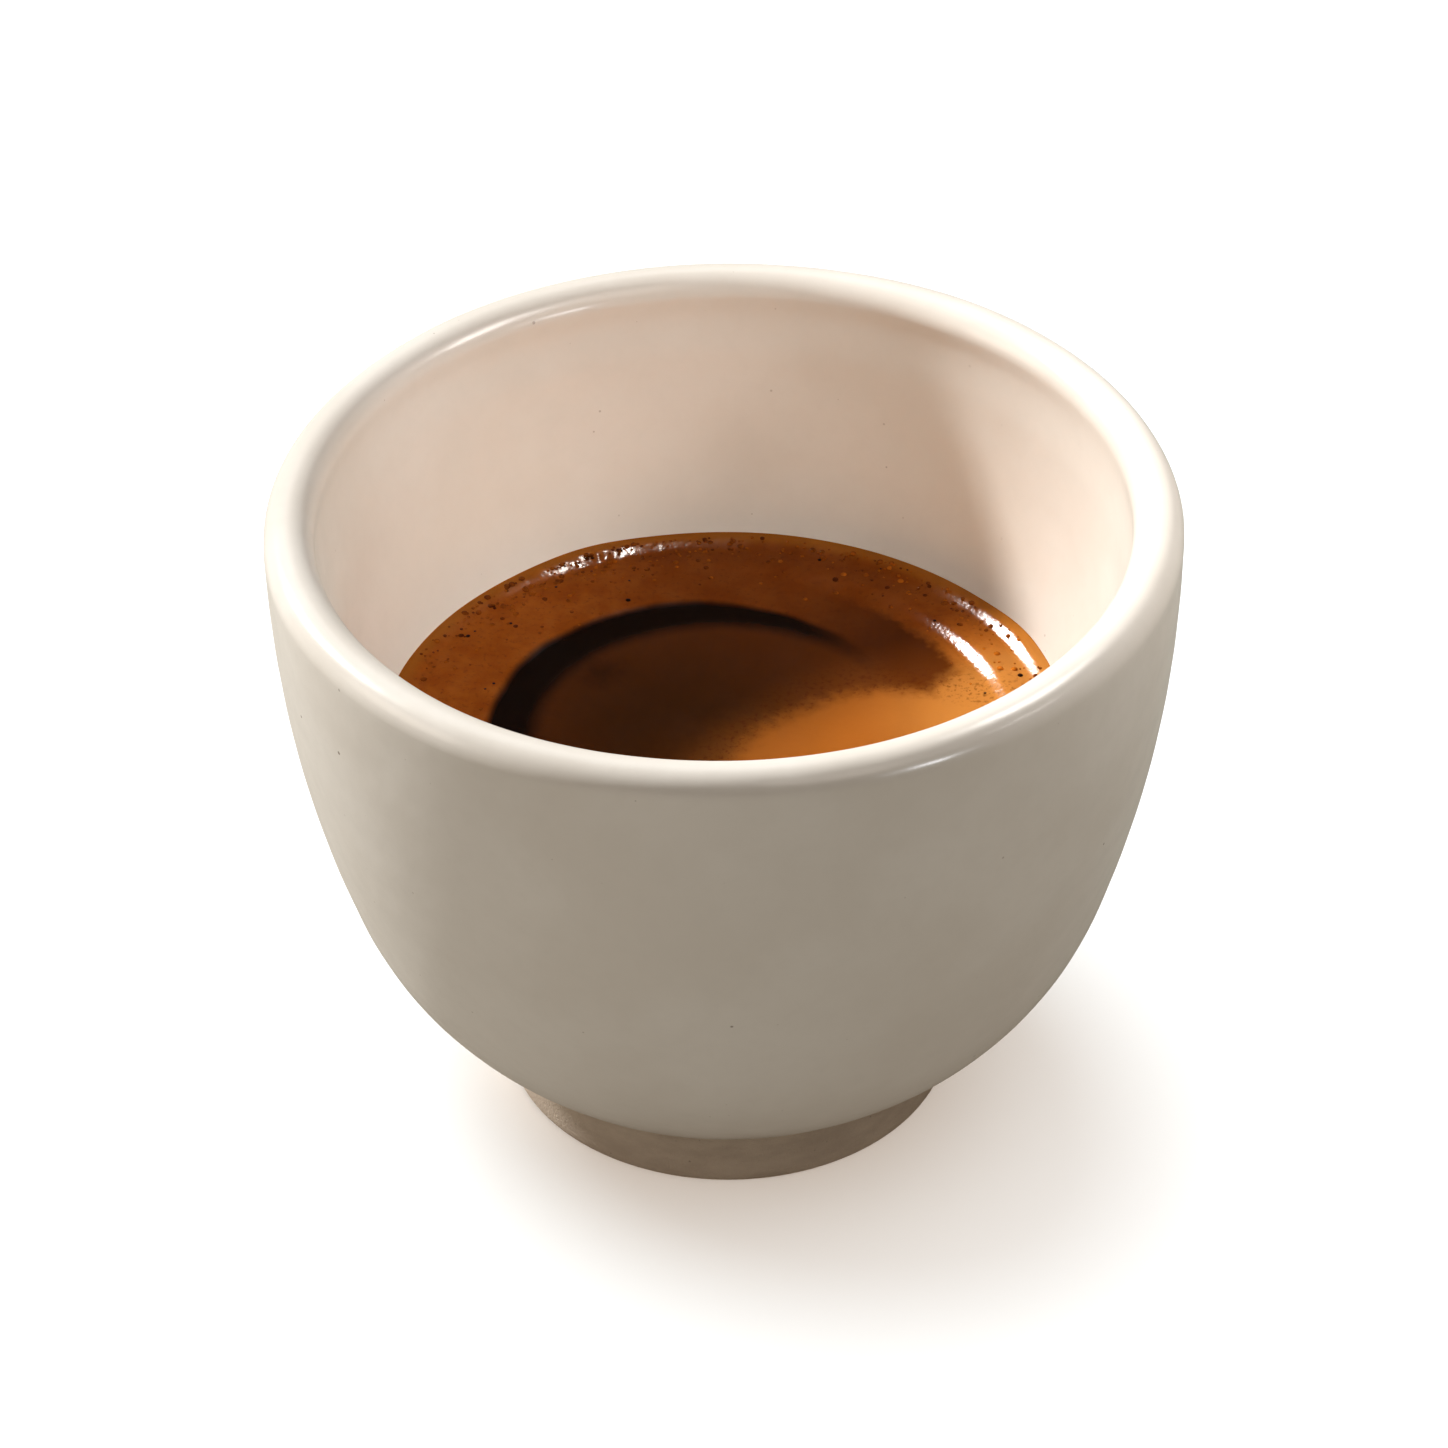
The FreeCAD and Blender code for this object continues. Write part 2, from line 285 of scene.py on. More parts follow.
def make_cup():
    """The cup, with the glazed bowl in material slot 0 and the bare foot in slot 1."""
    rings, joint = cup_rings()
    vertices = [v for ring in rings for v in ring]
    faces = close_rings(rings, CUP_AROUND)
    obj = new_object("cup_body", vertices, faces)
    mesh = obj.data
    normals = [v.normal.copy() for v in mesh.vertices]
    first_foot = sum(len(ring) for ring in rings[:joint])
    for v, normal in zip(mesh.vertices, normals):
        if v.index < first_foot:
            v.co += normal * hand_thrown(v.co, normal)
    bowl_faces = sum(len(ring) if len(ring) > 1 else CUP_AROUND for ring in rings[:joint])
    for face in mesh.polygons:
        face.material_index = 0 if face.index < bowl_faces else 1
    mesh.update()
    seam = range(first_foot, first_foot + CUP_AROUND)
    for edge in mesh.edges:
        if all(i in seam for i in edge.vertices):
            edge.use_edge_sharp = True
    return obj


# --- The drink's surface ---------------------------------------------------------------------------

def in_disc(x, y, disc, soft):
    """1 inside a disc (centre x, centre y, radius) and 0 outside, with a soft edge."""
    return 1 - smoothstep(disc[2] - soft / 2, disc[2] + soft / 2, math.hypot(x - disc[0], y - disc[1]))


# Zones of the crema, as discs on the drink's surface: centre x, centre y, radius, in millimetres
DARK_DISC = (-1.6, 1.2, 14.85)          # outer edge of the dark crescent
ISLAND_DISC = (-0.1, 0.2, 13.2)         # inner edge of the crescent, round the middle island
BAND_DISC = (0.1, 0.9, 18.1)            # outer edge of the brown band on the right
FLANK_DISC = (0.1, 0.0, 19.9)           # middle of the crema ring's inner slope on the right
BRIGHT_DISC = (12.3, -6.4, 12.3)        # the bright patch at the front right
LOW_RIGHT_DISC = (20.5, 3.0, 6.7)       # where the patch runs into the ring
PAINTED_GLOW_DISC = (5.0, -9.0, 10.5)           # painted light: glow of the bright patch spread over the shaded island beside it
SMUDGE_DISC = (-8.8, 7.6, 1.3)          # where black coffee shows through the island
BAND_INNER_DISC = (-1.5, -1.5, 16.0)    # inner edge of the brown band
RIGHT_DISC = (16.0, 6.0, 12.5)          # the side that the brown band shows on
MIDDLE_DISC = (-3.0, 0.0, 9.0)          # the darkest part of the island, partly painted shade
BACK_SHADE_DISC = (5.0, 22.0, 14.0)           # where painted shade darkens the ring, at the back
PALE_REFLECTION_DISC = (21.0, 3.0, 8.0)      # where the ring is palest: paler crema with a painted reflection of the lit wall
TAIL_DISC = (-7.0, 6.0, 16.2)           # where the crescent is black; it fades out past this

CREMA_DEPTH = 0.85                      # of the crema's lowest parts under the CAD's drink level, in mm

# Turns round the drink, in degrees from +X
RIGHT_TURN = 27                         # middle of the side where the ring stands highest
HEAP_TURN = 28                          # where the ring is steepest
FROTH_TURN = 115                        # where froth gathers on the collar
BUBBLES_BACK_LEFT_TURN = 118
BUBBLES_BACK_RIGHT_TURN = 50


def turn_of(x, y):
    """Turn of a place round the drink, in degrees from +X."""
    return math.degrees(math.atan2(y, x))


def near_turn(turn, middle, width):
    """1 at one turn round the drink, falling off over a width, in degrees."""
    return math.exp(-((turn - middle) / width) ** 2)


def rightness(x, y):
    """1 on the side where the crema ring stands highest, 0 across from it."""
    return max(0, math.cos(math.radians(turn_of(x, y) - RIGHT_TURN))) ** 1.5


def crema_height(x, y):
    """Height of the crema over the drink's level, at a place on it, in millimetres; gives metres."""
    to_wall = max(DRINK_RADIUS / MM - math.hypot(x, y), 0)
    right = rightness(x, y)
    turn = turn_of(x, y)
    heaped = near_turn(turn, HEAP_TURN, 9)
    frothy = near_turn(turn, FROTH_TURN, 10)
    collar = 0.45 + 0.10 * right + 0.13 * heaped + 0.18 * frothy
    collar *= 1 - smoothstep(0.30, 1.75, to_wall)
    crown = 0.10 * smoothstep(1.2, 3.0, to_wall) * (1 - smoothstep(3.0, 6.5, to_wall))
    flank = (0.50 + 0.13 * heaped) * right * (1 - in_disc(x, y, FLANK_DISC, 1.4))
    ledge = 0.30 * (1 - right) * (1 - in_disc(x, y, DARK_DISC, 1.3))
    island = 0.14 * in_disc(x, y, ISLAND_DISC, 2.4)
    place = Vector((x, y, 0))
    swell = noise.noise(place / 5.0) * 0.10 + noise.noise(place / 1.6) * 0.022
    grain = noise.noise(place / 0.5) * 0.006
    froth = noise.noise(place / 0.60) * 0.15 * frothy * (1 - smoothstep(1.5, 5.0, to_wall))
    roughness = (swell + grain + froth) * smoothstep(0.0, 0.8, to_wall)
    lowered = 0.30 * right * smoothstep(0.0, 7.0, math.hypot(x, y))
    return (collar + crown + flank + ledge + island + roughness - lowered - CREMA_DEPTH) * MM


def drink_top():
    """Rings of the drink's top, from the middle out."""
    centre = DRINK_CENTRE
    rings = [[Vector((centre.x, centre.y, DRINK_LEVEL + crema_height(0, 0)))]]
    for k in range(1, DRINK_STEPS + 1):
        reach = (DRINK_RADIUS + DRINK_OVERLAP) * (k / DRINK_STEPS)
        ring = []
        for i in range(DRINK_AROUND):
            t = 2 * math.pi * i / DRINK_AROUND
            x, y = reach * math.cos(t), reach * math.sin(t)
            z = DRINK_LEVEL + crema_height(x / MM, y / MM)
            ring.append(Vector((centre.x + x, centre.y + y, z)))
        rings.append(ring)
    return rings


def drink_underside():
    """Rings of the drink's underside, from the wall to the middle of the bowl's floor."""
    rings = []
    depth = DRINK_LEVEL - FLOOR_HEIGHT
    turns = [2 * math.pi * i / DRINK_AROUND for i in range(DRINK_AROUND)]
    for k in range(1, UNDERSIDE_STEPS):
        share = 1 - math.cos(math.pi / 2 * k / UNDERSIDE_STEPS)
        height = DRINK_LEVEL - UNDERSIDE_TOP - (depth - UNDERSIDE_TOP) * share
        radius = inner_radius(height) - DRINK_CLEARANCE
        rings.append([lean(Vector((radius * math.cos(t), radius * math.sin(t), height)))
                      for t in turns])
    rings.append([lean(Vector((0, 0, FLOOR_HEIGHT + DRINK_CLEARANCE)))])
    return rings


def make_drink():
    """The drink: a closed piece with a fine, uneven top and a plain underside inside the clay."""
    rings = drink_top() + drink_underside()
    faces = [tuple(reversed(face)) for face in close_rings(rings, DRINK_AROUND)]
    vertices = [v for ring in rings for v in ring]
    return new_object("crema_and_coffee", vertices, faces)


def scatter_on_crema(count, seed, weight):
    """Seeded random places on the drink, in millimetres, kept more often where weight(x, y) is high."""
    chance = random.Random(seed)
    places = []
    reach = DRINK_RADIUS / MM - 0.5
    while len(places) < count:
        x, y = chance.uniform(-reach, reach), chance.uniform(-reach, reach)
        size = chance.random()
        if math.hypot(x, y) < reach and chance.random() < weight(x, y):
            places.append((x, y, size))
    return places


def ring_share(x, y):
    """1 on the crema ring, 0 inside it."""
    band = rightness(x, y) * in_disc(x, y, BAND_DISC, 1.5)
    return (1 - in_disc(x, y, DARK_DISC, 1.5)) * (1 - band)


def bubble_share(x, y):
    """Where bubbles gather: thickest by the wall, at the back left and at the right."""
    to_wall = DRINK_RADIUS / MM - math.hypot(x, y)
    turn = turn_of(x, y)
    back_left = near_turn(turn, BUBBLES_BACK_LEFT_TURN, 32)
    back_right = 0.6 * near_turn(turn, BUBBLES_BACK_RIGHT_TURN, 28)
    near_wall = math.exp(-max(to_wall - 0.7, 0) / 1.6)
    return ring_share(x, y) * (0.08 + back_left + back_right) * near_wall


def dome(x, y, radius, flatness, sink):
    """Vertices of one dome: its rings from the bottom up, its top, then its underside's middle."""
    base = DRINK_LEVEL / MM + crema_height(x, y) / MM - sink * radius
    x += DRINK_CENTRE.x / MM
    vertices = []
    for k, angle in enumerate(DOME_ANGLES):
        a = math.radians(angle)
        for i in range(DOME_AROUND):
            t = 2 * math.pi * (i + 0.5 * k) / DOME_AROUND
            px = x + radius * math.cos(a) * math.cos(t)
            py = y + radius * math.cos(a) * math.sin(t)
            vertices.append(Vector((px, py, base + flatness * radius * math.sin(a))) * MM)
    vertices.append(Vector((x, y, base + flatness * radius)) * MM)
    vertices.append(Vector((x, y, base - 0.3 * radius)) * MM)
    return vertices


def dome_faces(first):
    """Faces of one dome whose vertices start at a number."""
    faces = []
    around = DOME_AROUND
    last_ring = first + (len(DOME_ANGLES) - 1) * around
    top = last_ring + around
    for i in range(around):
        j = (i + 1) % around
        for k in range(len(DOME_ANGLES) - 1):
            a, b = first + around * k, first + around * (k + 1)
            faces.append((a + i, a + j, b + j, b + i))
        faces.append((last_ring + i, last_ring + j, top))
        faces.append((first + j, first + i, top + 1))
    return faces


def make_domes(name, places, low, high, flatness, sink):
    """Low round domes on the crema, from radius low to high in millimetres."""
    vertices, faces = [], []
    for x, y, size in places:
        radius = low + (high - low) * size ** 2.5
        faces += dome_faces(len(vertices))
        vertices += dome(x, y, radius, flatness, sink)
    return new_object(name, vertices, faces)


# --- Node helpers ----------------------------------------------------------------------------------

# Places of the colour sockets on a Mix node
MIX_FACTOR, MIX_COLOUR_A, MIX_COLOUR_B = 0, 6, 7
MIX_COLOUR = 2


class Graph:
    """Short ways to add nodes to one material."""

    def __init__(self, name):
        self.material = bpy.data.materials.new(name)
        self.material.use_nodes = True
        self.tree = self.material.node_tree
        self.tree.nodes.clear()
        self.output = self.add("ShaderNodeOutputMaterial")
        self.coords = self.millimetres()

    def add(self, kind, **settings):
        """A new node with some of its settings."""
        node = self.tree.nodes.new(kind)
        for key, value in settings.items():
            setattr(node, key, value)
        return node

    def feed(self, socket, value):
        """Link a socket, or set its constant."""
        if isinstance(value, bpy.types.NodeSocket):
            self.tree.links.new(value, socket)
        else:
            socket.default_value = value

    def millimetres(self):
        """Object coordinates in millimetres."""
        place = self.add("ShaderNodeTexCoord").outputs["Object"]
        return self.vector("SCALE", place, scale=1000.0)

    def vector(self, operation, a, b=None, scale=None):
        """Vector arithmetic."""
        node = self.add("ShaderNodeVectorMath", operation=operation)
        self.feed(node.inputs[0], a)
        if b is not None:
            self.feed(node.inputs[1], b)
        if scale is not None:
            self.feed(node.inputs["Scale"], scale)
        return node.outputs["Value" if operation == "DISTANCE" else "Vector"]

    def math(self, operation, a, b=0.0, clamp=False):
        """Arithmetic on numbers."""
        node = self.add("ShaderNodeMath", operation=operation, use_clamp=clamp)
        self.feed(node.inputs[0], a)
        self.feed(node.inputs[1], b)
        return node.outputs[0]

    def step(self, value, low, high, to_low=0.0, to_high=1.0):
        """Smooth step of a value from low to high."""
        node = self.add("ShaderNodeMapRange", interpolation_type="SMOOTHSTEP", clamp=True)
        for socket, number in zip(node.inputs, (value, low, high, to_low, to_high)):
            self.feed(socket, number)
        return node.outputs["Result"]

    def noise(self, size, place=None, detail=2.0, roughness=0.5, output="Fac", stretch=None):
        """Noise whose features are about `size` millimetres across."""
        place = self.coords if place is None else place
        if stretch is not None:
            place = self.vector("MULTIPLY", place, stretch)
        node = self.add("ShaderNodeTexNoise")
        self.feed(node.inputs["Vector"], place)
        self.feed(node.inputs["Scale"], 1.0 / size)
        self.feed(node.inputs["Detail"], detail)
        self.feed(node.inputs["Roughness"], roughness)
        return node.outputs[output]

    def cells(self, size, place):
        """Random points about `size` mm apart: distance to the nearest, in cells, and its colour."""
        node = self.add("ShaderNodeTexVoronoi")
        self.feed(node.inputs["Vector"], place)
        self.feed(node.inputs["Scale"], 1.0 / size)
        return node.outputs["Distance"], node.outputs["Color"]

    def product(self, a, b):
        """Two numbers multiplied."""
        return self.math("MULTIPLY", a, b)

    def mix(self, amount, a, b):
        """Colour a, turning into colour b as the amount goes from 0 to 1."""
        node = self.add("ShaderNodeMix", data_type="RGBA")
        self.feed(node.inputs[MIX_FACTOR], amount)
        self.feed(node.inputs[MIX_COLOUR_A], a)
        self.feed(node.inputs[MIX_COLOUR_B], b)
        return node.outputs[MIX_COLOUR]

    def bump(self, height, strength, distance, normal=None):
        """Bump from a height, on top of another normal if one is given."""
        node = self.add("ShaderNodeBump")
        self.feed(node.inputs["Strength"], strength)
        self.feed(node.inputs["Distance"], distance)
        self.feed(node.inputs["Height"], height)
        if normal is not None:
            self.feed(node.inputs["Normal"], normal)
        return node.outputs["Normal"]

    def specks(self, size, radius, share, seed):
        """Mask of round specks about `size` mm apart, of a radius in mm, in a share of the cells."""
        place = self.vector("ADD", self.coords, (seed, seed * 0.7, seed * 1.3))
        distance, colour = self.cells(size, place)
        chosen = self.add("ShaderNodeSeparateColor")
        self.feed(chosen.inputs[0], colour)
        pick = self.math("LESS_THAN", chosen.outputs[0], share)
        grow = self.step(chosen.outputs[1], 0.0, 1.0, 0.4 * radius / size, radius / size)
        inside = self.math("SUBTRACT", 1.0, self.math("DIVIDE", distance, grow), clamp=True)
        return self.product(self.step(inside, 0.0, 0.5), pick)

    def finish(self, **inputs):
        """The surface shader. Underscores in the names of its inputs stand for spaces."""
        shader = self.add("ShaderNodeBsdfPrincipled")
        for key, value in inputs.items():
            self.feed(shader.inputs[key.replace("_", " ")], value)
        self.tree.links.new(shader.outputs[0], self.output.inputs["Surface"])
        return self.material


def rgb(red, green, blue):
    """A linear colour."""
    return (red, green, blue, 1.0)


# --- Materials -------------------------------------------------------------------------------------

# Iron specks in the glaze: distance apart, radius, share of cells, seed, colour, strength
IRON_SPECKS = (
    (1.6, 0.12, 0.40, 3.1, rgb(0.33, 0.26, 0.20), 0.55),
    (2.8, 0.19, 0.28, 8.4, rgb(0.17, 0.12, 0.085), 0.80),
    (5.0, 0.30, 0.30, 14.2, rgb(0.46, 0.27, 0.12), 0.70))


def glaze_material():
    """Cream glaze over stoneware: faintly clouded, with fine iron specks under a soft gloss."""
    g = Graph("cream_glaze")
    cloud = g.step(g.noise(14.0, detail=3.0), 0.35, 0.65)
    colour = g.mix(cloud, rgb(0.745, 0.690, 0.625), rgb(0.790, 0.740, 0.680))
    mottle = g.step(g.noise(1.3, detail=4.0, roughness=0.6), 0.4, 0.7)
    colour = g.mix(g.product(mottle, 0.10), colour, rgb(0.66, 0.61, 0.55))
    gathered = g.step(g.noise(15.0, detail=1.0), 0.38, 0.60, 0.15, 1.0)
    for size, radius, share, seed, tint, amount in IRON_SPECKS:
        spots = g.product(g.specks(size, radius, share, seed), gathered)
        colour = g.mix(g.product(spots, amount), colour, tint)
    rough = g.step(g.noise(5.0, detail=3.0), 0.3, 0.7, 0.20, 0.27)
    ripple = g.bump(g.noise(5.0, detail=2.0), 0.20, 0.0003)
    normal = g.bump(g.noise(0.7, detail=3.0), 0.06, 0.0001, ripple)
    return g.finish(Base_Color=colour, Roughness=rough, Normal=normal, Specular_IOR_Level=0.5)


def bare_clay_material():
    """Unglazed foot: grey-brown fired clay with a fine gritty grain."""
    g = Graph("bare_clay")
    cloud = g.noise(5.0, detail=4.0, roughness=0.6, stretch=(1, 1, 2.5))
    colour = g.mix(g.step(cloud, 0.3, 0.7), rgb(0.54, 0.44, 0.35), rgb(0.66, 0.55, 0.44))
    grit = g.specks(0.8, 0.12, 0.35, 5.0)
    colour = g.mix(g.product(grit, 0.45), colour, rgb(0.16, 0.12, 0.09))
    grain = g.noise(0.25, detail=4.0, roughness=0.7)
    normal = g.bump(grain, 0.5, 0.0002)
    return g.finish(Base_Color=colour, Roughness=0.85, Normal=normal, Specular_IOR_Level=0.3)


# Colours of the drink
RING_LIGHT = rgb(0.700, 0.190, 0.0140)
RING_DARK = rgb(0.540, 0.128, 0.0080)
# RING_BACK: painted shade on the ring's back; also the dark end of the bubbles' random tone.
RING_BACK = rgb(0.150, 0.030, 0.0030)
RING_EDGE = rgb(0.720, 0.250, 0.0260)
# Paler crema with a painted reflection of the lit wall, on the ring's right and the patch.
RING_PALE_AND_REFLECTION = rgb(0.620, 0.240, 0.0450)
CREMA_SHADE = rgb(0.110, 0.022, 0.0025)
# Island colours: partly the crema's own darker brown, partly painted shade where the rim shades the
# drink.
ISLAND_EDGE = rgb(0.190, 0.050, 0.0060)
ISLAND_MIDDLE = rgb(0.110, 0.034, 0.0045)
BAND_COLOUR = rgb(0.150, 0.035, 0.0025)
COFFEE_BLACK = rgb(0.016, 0.0045, 0.0010)
PATCH_COLOUR = rgb(0.430, 0.128, 0.0160)
PIT_DARK = rgb(0.010, 0.003, 0.001)
PIT_LIGHT = rgb(0.035, 0.010, 0.003)


def disc_mask(g, place, disc, soft):
    """1 inside a disc of the drink's surface, 0 outside."""
    away = g.vector("DISTANCE", place, (disc[0] + DRINK_CENTRE.x / MM, disc[1], 0.0))
    return g.step(away, disc[2] - soft / 2, disc[2] + soft / 2, 1.0, 0.0)


def wandering(g, place, pattern, reach):
    """A place on the flat surface, moved about by a colour noise."""
    away = g.vector("SUBTRACT", pattern, (0.5, 0.5, 0.5))
    return g.vector("ADD", place, g.vector("SCALE", away, scale=reach))


def ring_colour(g, flat, place, foam, mottle, pale_and_reflection):
    """The orange-brown ring of crema: darkened by painted shade at the back, paler with a painted
    reflection at the right, and pale by the wall.
    """
    # Painted shade: the ring darkens towards the back.
    back = disc_mask(g, place, BACK_SHADE_DISC, 16.0)
    ring = g.mix(mottle, RING_DARK, RING_LIGHT)
    ring = g.mix(g.product(back, 0.55), ring, RING_BACK)
    ring = g.mix(g.step(foam, 0.52, 0.75, 0.0, 0.40), ring, CREMA_SHADE)
    from_centre = g.vector("DISTANCE", flat, (DRINK_CENTRE.x / MM, 0.0, 0.0))
    by_wall = g.step(from_centre, DRINK_RADIUS / MM - 1.3, DRINK_RADIUS / MM - 0.3)
    ring = g.mix(g.product(by_wall, 0.65), ring, RING_EDGE)
    return g.mix(g.product(pale_and_reflection, 0.85), ring, RING_PALE_AND_REFLECTION)


def crema_material():
    """Crema: orange-brown ring, black coffee in the crescent, brown island partly in painted shade,
    bright patch with painted light spread beside it, and a painted reflection on the ring's right.
    """
    g = Graph("crema")
    flatten = (1.0, 1.0, 0.0)
    flat = g.vector("MULTIPLY", g.coords, flatten)
    place = wandering(g, flat, g.noise(7.0, flat, output="Color"), 0.8)
    grainy = wandering(g, place, g.noise(0.8, flat, output="Color", detail=3.0), 1.6)
    place = g.vector("MULTIPLY", place, flatten)
    grainy = g.vector("MULTIPLY", grainy, flatten)

    dark = disc_mask(g, place, DARK_DISC, 0.8)
    island = disc_mask(g, place, ISLAND_DISC, 2.0)
    right = disc_mask(g, place, RIGHT_DISC, 11.0)
    band = g.product(disc_mask(g, grainy, BAND_DISC, 1.2), right)
    band_inner = disc_mask(g, grainy, BAND_INNER_DISC, 3.5)
    bright = disc_mask(g, grainy, BRIGHT_DISC, 2.6)
    middle = disc_mask(g, place, MIDDLE_DISC, 12.0)
    front_right = disc_mask(g, grainy, LOW_RIGHT_DISC, 2.0)
    pale_and_reflection = disc_mask(g, place, PALE_REFLECTION_DISC, 9.0)
    within_ring = g.math("MAXIMUM", band, dark)

    foam = g.noise(0.40, flat, detail=4.0, roughness=0.65)
    mottle = g.step(g.noise(3.0, flat, detail=4.0, roughness=0.6), 0.3, 0.7)
    ring = ring_colour(g, flat, place, foam, mottle, pale_and_reflection)
    # The island: partly the crema's own brown, partly painted shade.
    island_tone_and_shade = g.mix(middle, ISLAND_EDGE, ISLAND_MIDDLE)
    inside = g.mix(band_inner, BAND_COLOUR, island_tone_and_shade)
    colour = g.mix(within_ring, ring, inside)

    crescent = g.product(dark, g.math("SUBTRACT", 1.0, island))
    tail = disc_mask(g, place, TAIL_DISC, 4.0)
    colour = g.mix(g.product(crescent, tail), colour, COFFEE_BLACK)
    smudge = disc_mask(g, grainy, SMUDGE_DISC, 3.0)
    colour = g.mix(g.product(smudge, 0.45), colour, COFFEE_BLACK)

    # Painted light: the bright patch's colour spread as a glow over the shaded island near it.
    painted_glow = g.product(disc_mask(g, grainy, PAINTED_GLOW_DISC, 8.0), 0.42)
    colour = g.mix(g.product(painted_glow, dark), colour, PATCH_COLOUR)
    # The patch also takes the paler crema and painted reflection near the ring's right.
    patch = g.mix(g.product(pale_and_reflection, 0.9), PATCH_COLOUR, RING_PALE_AND_REFLECTION)
    lit = g.product(bright, within_ring)
    colour = g.mix(g.math("MAXIMUM", lit, front_right), colour, patch)

    round_patch = (BRIGHT_DISC[0], BRIGHT_DISC[1], BRIGHT_DISC[2] + 2.5)
    beside = g.product(g.math("SUBTRACT", 1.0, bright), disc_mask(g, place, round_patch, 5.0))
    grains = g.math("MAXIMUM", g.specks(0.55, 0.12, 0.45, 2.0), g.step(foam, 0.50, 0.66))
    colour = g.mix(g.product(g.product(beside, grains), 0.75), colour, CREMA_SHADE)

    bubbles, _ = g.cells(0.34, flat)
    normal = g.bump(bubbles, 0.10, 0.0001)
    normal = g.bump(foam, 0.12, 0.0001, normal)
    rough = g.step(mottle, 0.0, 1.0, 0.14, 0.22)
    return g.finish(Base_Color=colour, Roughness=rough, Normal=normal, Specular_IOR_Level=0.25)


def bubble_material():
    """Skin of the larger bubbles: the ring's colour, wetter."""
    g = Graph("bubble_skin")
    tone = g.step(g.noise(1.2, detail=3.0), 0.3, 0.7)
    colour = g.mix(tone, RING_BACK, RING_LIGHT)
    normal = g.bump(g.noise(0.15, detail=2.0), 0.1, 0.00005)
    return g.finish(Base_Color=colour, Roughness=0.10, Normal=normal, Specular_IOR_Level=0.30)


def pit_material():
    """Burst bubbles, almost black inside."""
    g = Graph("burst_bubble")
    tone = g.step(g.noise(0.3, detail=3.0), 0.3, 0.7)
    colour = g.mix(tone, PIT_DARK, PIT_LIGHT)
    return g.finish(Base_Color=colour, Roughness=0.5, Specular_IOR_Level=0.10)


def floor_material():
    """Pale floor that throws less light back at the cup than it shows."""
    g = Graph("studio_floor")
    seen = g.add("ShaderNodeLightPath").outputs["Is Camera Ray"]
    grain = g.step(g.noise(60.0, detail=2.0), 0.3, 0.7)
    shown = g.mix(grain, rgb(0.93, 0.93, 0.93), rgb(0.94, 0.94, 0.94))
    colour = g.mix(seen, rgb(0.29, 0.26, 0.22), shown)
    return g.finish(Base_Color=colour, Roughness=0.9, Specular_IOR_Level=0.0)


# --- Stage -----------------------------------------------------------------------------------------

def direction(azimuth, elevation):
    """Unit vector towards a light: azimuth anticlockwise from +X, both in degrees."""
    a, e = math.radians(azimuth), math.radians(elevation)
    return Vector((math.cos(a) * math.cos(e), math.sin(a) * math.cos(e), math.sin(e)))


def only_on(obj, receivers):
    """Let a light fall only on the receivers, and hide the lamp itself."""
    obj.visible_camera = False
    group = bpy.data.collections.new(obj.name + "_receivers")
    for receiver in receivers:
        group.objects.link(receiver)
    obj.light_linking.receiver_collection = group
    return obj


def gloss_only(obj):
    """Let a light add highlights and nothing else."""
    obj.visible_diffuse = False


def make_light(kind, name, energy, colour):
    """A light of one kind, not yet placed."""
    light = bpy.data.lights.new(name, kind)
    light.energy = energy
    light.color = colour
    obj = bpy.data.objects.new(name, light)
    bpy.context.scene.collection.objects.link(obj)
    obj.rotation_mode = "QUATERNION"
    return obj


def make_sun(name, azimuth, elevation, strength, angle, colour, receivers):
    """Distant light, its size given as an angle in degrees."""
    obj = make_light("SUN", name, strength, colour)
    obj.data.angle = math.radians(angle)
    obj.rotation_quaternion = direction(azimuth, elevation).to_track_quat("Z", "Y")
    return only_on(obj, receivers)


def make_lamp(name, place, size, watts, colour, receivers):
    """Small soft lamp, its size being its radius."""
    obj = make_light("POINT", name, watts, colour)
    obj.data.shadow_soft_size = size
    obj.location = place
    return only_on(obj, receivers)


SPOT_RADIUS = 26 * MM


def make_spot(name, place, aim, cone, watts, colour, receivers):
    """Soft-edged pool of light round the aim, in a cone of so many degrees."""
    obj = make_light("SPOT", name, watts, colour)
    obj.data.spot_size = math.radians(cone)
    obj.data.spot_blend = 1.0
    obj.data.shadow_soft_size = SPOT_RADIUS
    obj.location = place
    obj.rotation_quaternion = (Vector(place) - Vector(aim)).to_track_quat("Z", "Y")
    return only_on(obj, receivers)


def make_glow(name, place, width, watts, colour, receivers):
    """Upward glow of the drink's surface on the clay round it."""
    obj = make_light("AREA", name, watts, colour)
    obj.data.shape = "DISK"
    obj.data.size = width
    obj.location = place
    obj.rotation_quaternion = Vector((0, 0, -1)).to_track_quat("Z", "Y")
    return only_on(obj, receivers)


def make_floor():
    """Wide level floor, which is not part of the object."""
    r = 3.0
    corners = [(-r, -r, 0), (r, -r, 0), (r, r, 0), (-r, r, 0)]
    floor = new_object("floor", corners, [(0, 1, 2, 3)], rounded=False)
    floor.data.materials.append(floor_material())
    return floor


def make_world():
    """Faint warm light from all round."""
    world = bpy.data.worlds.new("studio")
    world.use_nodes = True
    background = world.node_tree.nodes["Background"]
    background.inputs["Color"].default_value = rgb(1.0, 0.93, 0.85)
    background.inputs["Strength"].default_value = 0.05
    bpy.context.scene.world = world


KEY_FROM = (147, 33)                    # azimuth and elevation of the main light, in degrees
WINDOW_PLACE = (45 * MM, 0, 100 * MM)
POOL_PLACE = (118 * MM, -22 * MM, 120 * MM)
POOL_AIM = (-18 * MM, 17 * MM, 31 * MM)
GLOW_PLACE = (2 * MM, 0, 28.4 * MM)     # just above the drink
RIM_SHINE_PLACE = (190 * MM, -192 * MM, 86 * MM)
FROTH_SHINE_PLACE = (25 * MM, 23 * MM, 120 * MM)

CAMERA_AIM_HEIGHT = 28.27 * MM
CAMERA_DISTANCE = 366.1 * MM
CAMERA_ELEVATION = math.radians(37.17)
CAMERA_SIDE = math.radians(-0.10)       # turn of the camera away from straight in front
CAMERA_ROLL = math.radians(-0.17)
CAMERA_LENS = 131.3


